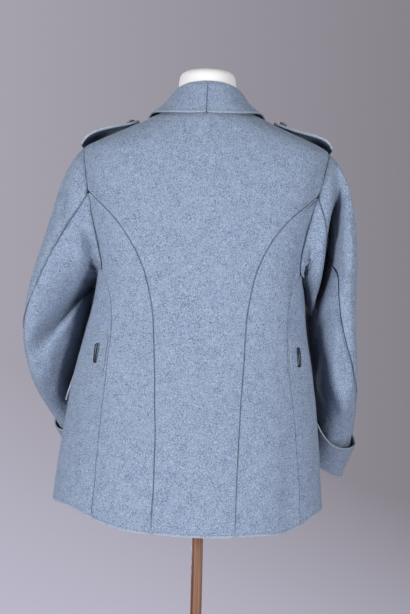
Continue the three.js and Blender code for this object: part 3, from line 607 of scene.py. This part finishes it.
def melange_group():
    """Heathered wool: fibres of a dark, a middle and a pale yarn, mottled, with a fulled nap."""
    tree = bpy.data.node_groups.new("Melange", "ShaderNodeTree")
    for label, way, kind in (
        ("Dark", "INPUT", "NodeSocketColor"),
        ("Middle", "INPUT", "NodeSocketColor"),
        ("Pale", "INPUT", "NodeSocketColor"),
        ("Color", "OUTPUT", "NodeSocketColor"),
        ("Height", "OUTPUT", "NodeSocketFloat"),
    ):
        tree.interface.new_socket(label, in_out=way, socket_type=kind)
    yarns = tree.nodes.new("NodeGroupInput").outputs
    place = object_place(tree)

    def clouds(scale, detail, rough, distortion=0.0):
        inputs = {"Vector": place, "Scale": scale, "Detail": detail, "Roughness": rough, "Distortion": distortion}
        return add_node(tree, "ShaderNodeTexNoise", inputs).outputs["Fac"]

    def ramp(value, low, high):
        inputs = {"Value": value, "From Min": low, "From Max": high}
        return add_node(tree, "ShaderNodeMapRange", inputs, interpolation_type="SMOOTHSTEP").outputs["Result"]

    fibres = clouds(800, 2, 0.6, 0.5)
    tufts = clouds(420, 2, 0.55, 0.4)
    mottle = clouds(60, 4, 0.6)
    mottled = add_node(tree, "ShaderNodeMath", {0: mottle, 1: 0.35, 2: tufts}, operation="MULTIPLY_ADD")
    colour = mixed(tree, ramp(mottled.outputs[0], 0.5, 0.78), yarns["Dark"], yarns["Middle"])
    colour = mixed(tree, ramp(fibres, 0.46, 0.72), colour, yarns["Pale"])
    height = add_node(tree, "ShaderNodeMath", {0: fibres, 1: tufts}, operation="ADD")
    add_node(tree, "NodeGroupOutput", {"Color": colour, "Height": height.outputs[0]})
    return tree


def wool_material():
    """Fulled horizon-blue melange wool, with painted shade in its seams, in its folds and where other cloth faces it,
    and rubbed pale at its edges.
    """
    material, tree = new_material("Horizon_blue_wool")
    options = settings()
    group = tree.nodes.new("ShaderNodeGroup")
    group.node_tree = melange_group()
    for label, tint in (("Dark", options.wool_dark), ("Middle", options.wool_middle), ("Pale", options.wool_pale)):
        group.inputs[label].default_value = (*tint, 1)
    colour = group.outputs["Color"]
    # seam and deep paint shade into the colour: in the seams, in the folds' hollows and where other cloth faces the
    # wool; edge is the paler rubbed edge
    for mark, tint, most in (
        ("seam", options.seam_shade, 0.6),
        ("edge", options.edge_wear, 0.45),
        ("deep", options.fold_shade, 0.85),
    ):
        near = add_node(tree, "ShaderNodeAttribute", {}, attribute_name=mark)
        share = add_node(tree, "ShaderNodeMath", {0: near.outputs["Fac"], 1: most}, operation="MULTIPLY")
        colour = mixed(tree, share.outputs[0], colour, (*tint, 1))
    set_shader(tree, group.outputs["Height"], 0.5, 0.0006, {
        "Base Color": colour,
        "Roughness": 0.95,
        "Specular IOR Level": 0.15,
        "Sheen Weight": 0.12,
        "Sheen Roughness": 0.6,
        "Sheen Tint": (0.8, 0.87, 1, 1),
    })
    return material


def plain_material(name, colour, rough, metal=0.0, scale=120.0, change=0.12):
    """A finish with slight changes of colour and a fine unevenness."""
    material, tree = new_material(name)
    inputs = {"Vector": object_place(tree), "Scale": scale, "Detail": 4}
    cloud = add_node(tree, "ShaderNodeTexNoise", inputs).outputs["Fac"]
    darker = (*(c * (1 - change) for c in colour), 1)
    paler = (*(min(1, c * (1 + change)) for c in colour), 1)
    set_shader(tree, cloud, 0.3, 0.0002, {
        "Base Color": mixed(tree, cloud, darker, paler),
        "Roughness": rough,
        "Metallic": metal,
    })
    return material


def knit_material():
    """White jersey drawn over the form: fine ribs of knitting, with a little painted shade between them."""
    material, tree = new_material("White_cover")
    place = object_place(tree)
    ribs = []
    for direction, scale in (("Z", 300), ("DIAGONAL", 240)):
        inputs = {"Vector": place, "Scale": scale, "Distortion": 1.5, "Detail": 1}
        wave = add_node(tree, "ShaderNodeTexWave", inputs, bands_direction=direction)
        ribs.append(wave.outputs["Fac"])
    both = add_node(tree, "ShaderNodeMath", {0: ribs[0], 1: ribs[1]}, operation="MULTIPLY").outputs[0]
    cover = settings().cover
    grey = (*(0.9 * c for c in cover), 1)
    # greyer where the ribs' relief is low: painted shade between the ribs
    set_shader(tree, both, 0.35, 0.0004, {"Base Color": mixed(tree, both, grey, (*cover, 1)), "Roughness": 0.9})
    return material


def wood_material():
    """Brown varnished wood, streaked lengthwise, with a worn gloss."""
    material, tree = new_material("Varnished_wood")
    stretch = add_node(tree, "ShaderNodeMapping", {"Vector": object_place(tree), "Scale": (230, 230, 4)})
    inputs = {"Vector": stretch.outputs["Vector"], "Scale": 1, "Detail": 6, "Distortion": 0.6}
    streaks = add_node(tree, "ShaderNodeTexNoise", inputs).outputs["Fac"]
    ramp = add_node(tree, "ShaderNodeValToRGB", {"Fac": streaks})
    red, green, blue = settings().pole
    dark, pale = ramp.color_ramp.elements
    dark.position, dark.color = 0.32, (0.42 * red, 0.34 * green, 0.4 * blue, 1)
    pale.position, pale.color = 0.66, (1.35 * red, 1.45 * green, 1.4 * blue, 1)
    worn = add_node(tree, "ShaderNodeMapRange", {"Value": streaks, "To Min": 0.2, "To Max": 0.42})
    set_shader(tree, streaks, 0.2, 0.0003, {
        "Base Color": ramp.outputs["Color"],
        "Roughness": worn.outputs["Result"],
        "Coat Weight": 0.3,
        "Coat Roughness": 0.15,
    })
    return material


# ---------------------------------------------------------------- settings
class TunicSettings(bpy.types.PropertyGroup):
    """The colours of the wool, the thread, the jersey and the pole, and the size of the stitches"""

    wool_dark: bpy.props.FloatVectorProperty(
        name="Dark wool", description="Colour of the darkest fibres", subtype="COLOR", default=(0.09, 0.136, 0.228)
    )
    wool_middle: bpy.props.FloatVectorProperty(
        name="Middle wool", description="Colour of most of the wool", subtype="COLOR", default=(0.2, 0.27, 0.39)
    )
    wool_pale: bpy.props.FloatVectorProperty(
        name="Pale wool", description="Colour of the grey-white fibres", subtype="COLOR", default=(0.46, 0.5, 0.58)
    )
    # painted shade in the seams and along the rows of stitches
    seam_shade: bpy.props.FloatVectorProperty(
        name="Seam shade", description="Colour deep in the seams", subtype="COLOR", default=(0.03, 0.045, 0.08)
    )
    # painted shade in the folds' hollows and where other cloth faces the wool
    fold_shade: bpy.props.FloatVectorProperty(
        name="Fold shade", description="Colour deep in the folds", subtype="COLOR", default=(0.015, 0.02, 0.032)
    )
    edge_wear: bpy.props.FloatVectorProperty(
        name="Edge wear", description="Colour of the rubbed free edges", subtype="COLOR", default=(0.42, 0.46, 0.5)
    )
    stitch_pitch: bpy.props.FloatProperty(
        name="Stitch pitch", description="From one stitch to the next", unit="LENGTH", default=0.0045
    )
    stitch_length: bpy.props.FloatProperty(
        name="Stitch length", description="Length of a stitch", unit="LENGTH", default=0.0032
    )
    thread: bpy.props.FloatProperty(
        name="Thread", description="Thickness of the thread", unit="LENGTH", default=0.0009
    )
    thread_colour: bpy.props.FloatVectorProperty(
        name="Thread colour", description="Colour of the thread", subtype="COLOR", default=(0.16, 0.21, 0.29)
    )
    cover: bpy.props.FloatVectorProperty(
        name="Cover", description="Colour of the dress form's jersey", subtype="COLOR", default=(0.86, 0.85, 0.86)
    )
    pole: bpy.props.FloatVectorProperty(
        name="Pole", description="Colour of the pole", subtype="COLOR", default=(0.26, 0.135, 0.09)
    )


def settings():
    """The tunic's settings."""
    return bpy.context.scene.tunic


DRAPE = Drape()
RIMS = {name: rim_points(name) for name in CLOTH_NODES if name.startswith(SEWN)}


# ---------------------------------------------------------------- pieces
def make_sheet(node, margin=RIM_MARGIN):
    """A panel of the coat from its CAD node."""
    piece, lines = sheet_mesh(node, margin)
    free = mark_rims(node, piece, margin)
    drape_piece(node, piece)
    if free:
        sew(node, piece, lines, free, margin)
    finish_piece(piece, bpy.data.materials.get("Horizon_blue_wool") or wool_material(), "wool", node)
    return piece


def sew(node, piece, lines, free, margin):
    """A row of stitches along a sheet's free edges, one margin in from them."""
    options = settings()
    rim = tree_of(free)
    cloth = BVHTree.FromObject(piece, bpy.context.evaluated_depsgraph_get())
    bm = bmesh.new()
    for line in lines:
        spots = spaced(line, options.stitch_pitch)
        near = [spot for spot in spots if rim.find(spot[0])[2] < margin * STITCH_NEAR]
        if not near:
            continue
        places = np.array([place for place, _ in near])
        places += DRAPE.shift(places, node)[0]
        for place, (_, along) in zip(places, near):
            spot, normal, _, _ = cloth.find_nearest(Vector(place))
            along = (along - normal * along.dot(normal)).normalized()
            turn = Matrix((along, normal.cross(along), normal)).transposed().to_4x4()
            size = Matrix.Diagonal((options.stitch_length / 2, options.thread / 2, options.thread / 2, 1))
            bmesh.ops.create_icosphere(bm, subdivisions=1, radius=1, matrix=Matrix.Translation(spot) @ turn @ size)
    if not bm.verts:
        return
    thread = bpy.data.materials.get("Sewing_thread") or plain_material(
        "Sewing_thread", tuple(options.thread_colour), rough=0.8, scale=2000, change=0.3
    )
    finish_piece(new_piece(bm, node + "_stitches"), thread, "wool")


def spaced(line, pitch):
    """Spots a pitch apart along a line, each with the way the line runs there."""
    spots, left = [], 0.0
    for first, last in zip(line, line[1:]):
        length = (last - first).length
        if length < WELD:
            continue
        along = (last - first) / length
        while left < length:
            spots.append((first + along * left, along))
            left += pitch
        left -= length
    return spots


def smooth_copy(node, material, slot, levels=2):
    """A smooth piece from a CAD body."""
    piece = new_piece(flat_copy(node), node + "_part", levels)
    return finish_piece(piece, material, slot, node)


def shift_with_cloth(node, piece):
    """Moves a piece that is fixed to the cloth along with it, as one."""
    rows = points_of(piece)
    put_points(piece, rows + DRAPE.shift(rows.mean(0, keepdims=True), node)[0])


def press_down(piece, share):
    """Brings a piece that stands off the coat nearer to it, to a share of its height."""
    rows = points_of(piece)
    place, normal = map(np.array, COAT_TREE.find_nearest(Vector(rows.mean(0)))[:2])
    height = (rows - place) @ normal
    put_points(piece, rows - (height * (1 - share))[:, None] * normal)


def round_neck(form):
    """Draws the top of the form's neck in, so that its edge is rounded."""
    rows = points_of(form)
    foot = rows[:, 2].max() - NECK_ROUND
    near = np.clip((rows[:, 2] - foot) / NECK_ROUND, 0, 1)[:, None] ** 2
    middle = rows[rows[:, 2] > foot].mean(0)
    middle[2] = foot
    put_points(form, rows + (middle - rows) * near * NECK_PULL)


# ---------------------------------------------------------------- operators
class TUNIC_OT_stage(bpy.types.Operator):
    """Makes the camera, the floor, the backdrop's light and the lamps"""

    bl_idname = "tunic.stage"
    bl_label = "Stage"

    def execute(self, context):
        scene = context.scene
        camera = bpy.data.objects.new("Camera", bpy.data.cameras.new("Camera"))
        scene.collection.objects.link(camera)
        scene.camera = camera
        camera.data.lens = 72.5
        camera.data.sensor_width = 36
        camera.location = mm(-2, 2200, 1135)
        camera.rotation_euler = (math.radians(90), math.radians(-1.3), math.radians(180))
        camera.data.shift_x = 0.00195
        scene.view_settings.view_transform = "Standard"
        self.floor()
        self.world(scene)
        self.lamp(scene, "Left_softbox", mm(1650, 1900, 1100), 0.7, 56)
        self.lamp(scene, "Right_softbox", mm(-1650, 1900, 1000), 0.7, 44)
        self.lamp(scene, "Front", mm(600, -2300, 1900), 1.6, 45)
        self.lamp(scene, "Top_softbox", mm(0, 700, 2700), 1.4, 7)
        return {"FINISHED"}

    def lamp(self, scene, name, place, size, power):
        """A soft square lamp that looks at the coat."""
        data = bpy.data.lights.new(name, "AREA")
        data.size = size
        data.energy = power
        lamp = bpy.data.objects.new(name, data)
        lamp.location = place
        lamp.rotation_euler = (Vector(mm(0, 0, 1130)) - lamp.location).to_track_quat("-Z", "Y").to_euler()
        scene.collection.objects.link(lamp)

    def floor(self):
        """A round floor, wide enough that its rim can't be seen."""
        bm = bmesh.new()
        bmesh.ops.create_circle(bm, cap_ends=True, segments=96, radius=2.6)
        floor = new_piece(bm, "Floor")
        floor.data.materials.append(self.floor_material())

    def floor_material(self):
        """A pale matt floor that thins out to nothing at its rim, so that it runs into the backdrop."""
        material = plain_material("Pale_floor", (0.5, 0.48, 0.56), rough=0.9, scale=3, change=0.03)
        tree = material.node_tree
        reach = add_node(tree, "ShaderNodeVectorMath", {0: object_place(tree)}, operation="LENGTH")
        inputs = {"Value": reach.outputs["Value"], "From Min": 0.9, "From Max": 2.5, "To Min": 1.0, "To Max": 0.0}
        fade = add_node(tree, "ShaderNodeMapRange", inputs, interpolation_type="SMOOTHERSTEP")
        fill(tree, tree.nodes["Principled BSDF"], {"Alpha": fade.outputs["Result"]})
        return material

    def world(self, scene):
        """Grey-lilac all round, paler low down and darker to one side."""
        scene.world = bpy.data.worlds.new("Backdrop")
        scene.world.use_nodes = True
        tree = scene.world.node_tree
        way = tree.nodes.new("ShaderNodeTexCoord").outputs["Generated"]
        parts = add_node(tree, "ShaderNodeSeparateXYZ", {0: way}).outputs

        def ramp(value, low, high):
            inputs = {"Value": value, "From Min": low, "From Max": high}
            return add_node(tree, "ShaderNodeMapRange", inputs).outputs["Result"]

        aslant = add_node(tree, "ShaderNodeMath", {0: parts["X"], 1: -0.3, 2: parts["Z"]}, operation="MULTIPLY_ADD")
        across = mixed(tree, ramp(parts["X"], -0.17, 0.17), (0.235, 0.225, 0.255, 1), (0.385, 0.365, 0.425, 1))
        low_down = ramp(aslant.outputs[0], -0.1, -0.28)
        rays = tree.nodes.new("ShaderNodeLightPath").outputs["Is Camera Ray"]
        strength = add_node(tree, "ShaderNodeMapRange", {"Value": rays, "To Min": AMBIENT, "To Max": 1.0})
        fill(tree, tree.nodes["Background"], {
            "Color": mixed(tree, low_down, across, (0.495, 0.475, 0.585, 1)),
            "Strength": strength.outputs["Result"],
        })


class TUNIC_OT_body(bpy.types.Operator):
    """Makes the back panel, the side bodies and the fronts"""

    bl_idname = "tunic.body"
    bl_label = "Body of the coat"

    def execute(self, context):
        make_sheet("back_panel")
        for side in SIDES:
            make_sheet("side_body_" + side)
            make_sheet("front_" + side)
        return {"FINISHED"}


class TUNIC_OT_sleeves(bpy.types.Operator):
    """Makes the two-piece sleeves and their turned-back cuffs"""

    bl_idname = "tunic.sleeves"
    bl_label = "Sleeves and cuffs"

    def execute(self, context):
        for side in SIDES:
            make_sheet("sleeve_upper_" + side)
            make_sheet("sleeve_under_" + side)
            make_sheet("cuff_" + side)
        return {"FINISHED"}


class TUNIC_OT_collar(bpy.types.Operator):
    """Makes the stand-and-fall collar's halves"""

    bl_idname = "tunic.collar"
    bl_label = "Collar"

    def execute(self, context):
        for side in SIDES:
            make_sheet("collar_" + side)
        return {"FINISHED"}


class TUNIC_OT_details(bpy.types.Operator):
    """Makes the shoulder straps, the hip pockets, their flaps and the hook patches"""

    bl_idname = "tunic.details"
    bl_label = "Straps, pockets and patches"

    def execute(self, context):
        for side in SIDES:
            make_sheet("shoulder_strap_" + side, margin=NARROW_MARGIN)
            make_sheet("hip_pocket_" + side)
            make_sheet("pocket_flap_" + side)
            make_sheet("hook_patch_" + side, margin=NARROW_MARGIN)
        return {"FINISHED"}


class TUNIC_OT_metal(bpy.types.Operator):
    """Makes the buttons and the belt hooks"""

    bl_idname = "tunic.metal"
    bl_label = "Buttons and hooks"

    def execute(self, context):
        grey = plain_material("Grey_metal", (0.22, 0.23, 0.25), rough=0.45, metal=0.9, scale=300)
        black = plain_material("Black_wire", (0.006, 0.006, 0.007), rough=0.6, scale=400)
        black.node_tree.nodes["Principled BSDF"].inputs["Specular IOR Level"].default_value = 0.25
        for name in sorted(NODES):
            if name.startswith("belt_hook"):
                hook = smooth_copy(name, black, "black_wire", 1)
                press_down(hook, HOOK_HEIGHT)
                shift_with_cloth(name, hook)
            elif "button" in name:
                shift_with_cloth(name, smooth_copy(name, grey, "grey_metal"))
        return {"FINISHED"}


class TUNIC_OT_form(bpy.types.Operator):
    """Makes the dress form and its stand"""

    bl_idname = "tunic.form"
    bl_label = "Dress form and stand"

    def execute(self, context):
        form = smooth_copy("dress_form", knit_material(), "white_cover")
        rows = points_of(form)
        covered = np.clip((COLLAR_TOP - rows[:, 2:]) / FORM_FADE, 0, 1)
        put_points(form, rows - FORM_CLEAR * covered * points_of(form, "normal"))
        round_neck(form)
        wood = wood_material()
        smooth_copy("stand_pole", wood, "varnished_wood", 0)
        smooth_copy("stand_base", wood, "varnished_wood", 0)
        return {"FINISHED"}


class TUNIC_PT_panel(bpy.types.Panel):
    """The tunic's settings and the steps that build it"""

    bl_idname = "TUNIC_PT_panel"
    bl_label = "Tunic"
    bl_space_type = "VIEW_3D"
    bl_region_type = "UI"
    bl_category = "Tunic"

    def draw(self, context):
        for name in TunicSettings.__annotations__:
            self.layout.prop(context.scene.tunic, name)
        for step in STEPS:
            self.layout.operator(step.bl_idname)


STEPS = (
    TUNIC_OT_stage,
    TUNIC_OT_body,
    TUNIC_OT_sleeves,
    TUNIC_OT_collar,
    TUNIC_OT_details,
    TUNIC_OT_metal,
    TUNIC_OT_form,
)
CLASSES = (TunicSettings, *STEPS, TUNIC_PT_panel)


def register():
    for item in CLASSES:
        bpy.utils.register_class(item)
    bpy.types.Scene.tunic = bpy.props.PointerProperty(type=TunicSettings)


def unregister():
    del bpy.types.Scene.tunic
    for item in reversed(CLASSES):
        bpy.utils.unregister_class(item)


def main():
    register()
    for step in STEPS:
        group, name = step.bl_idname.split(".")
        getattr(getattr(bpy.ops, group), name)()


if __name__ == "__main__":
    main()
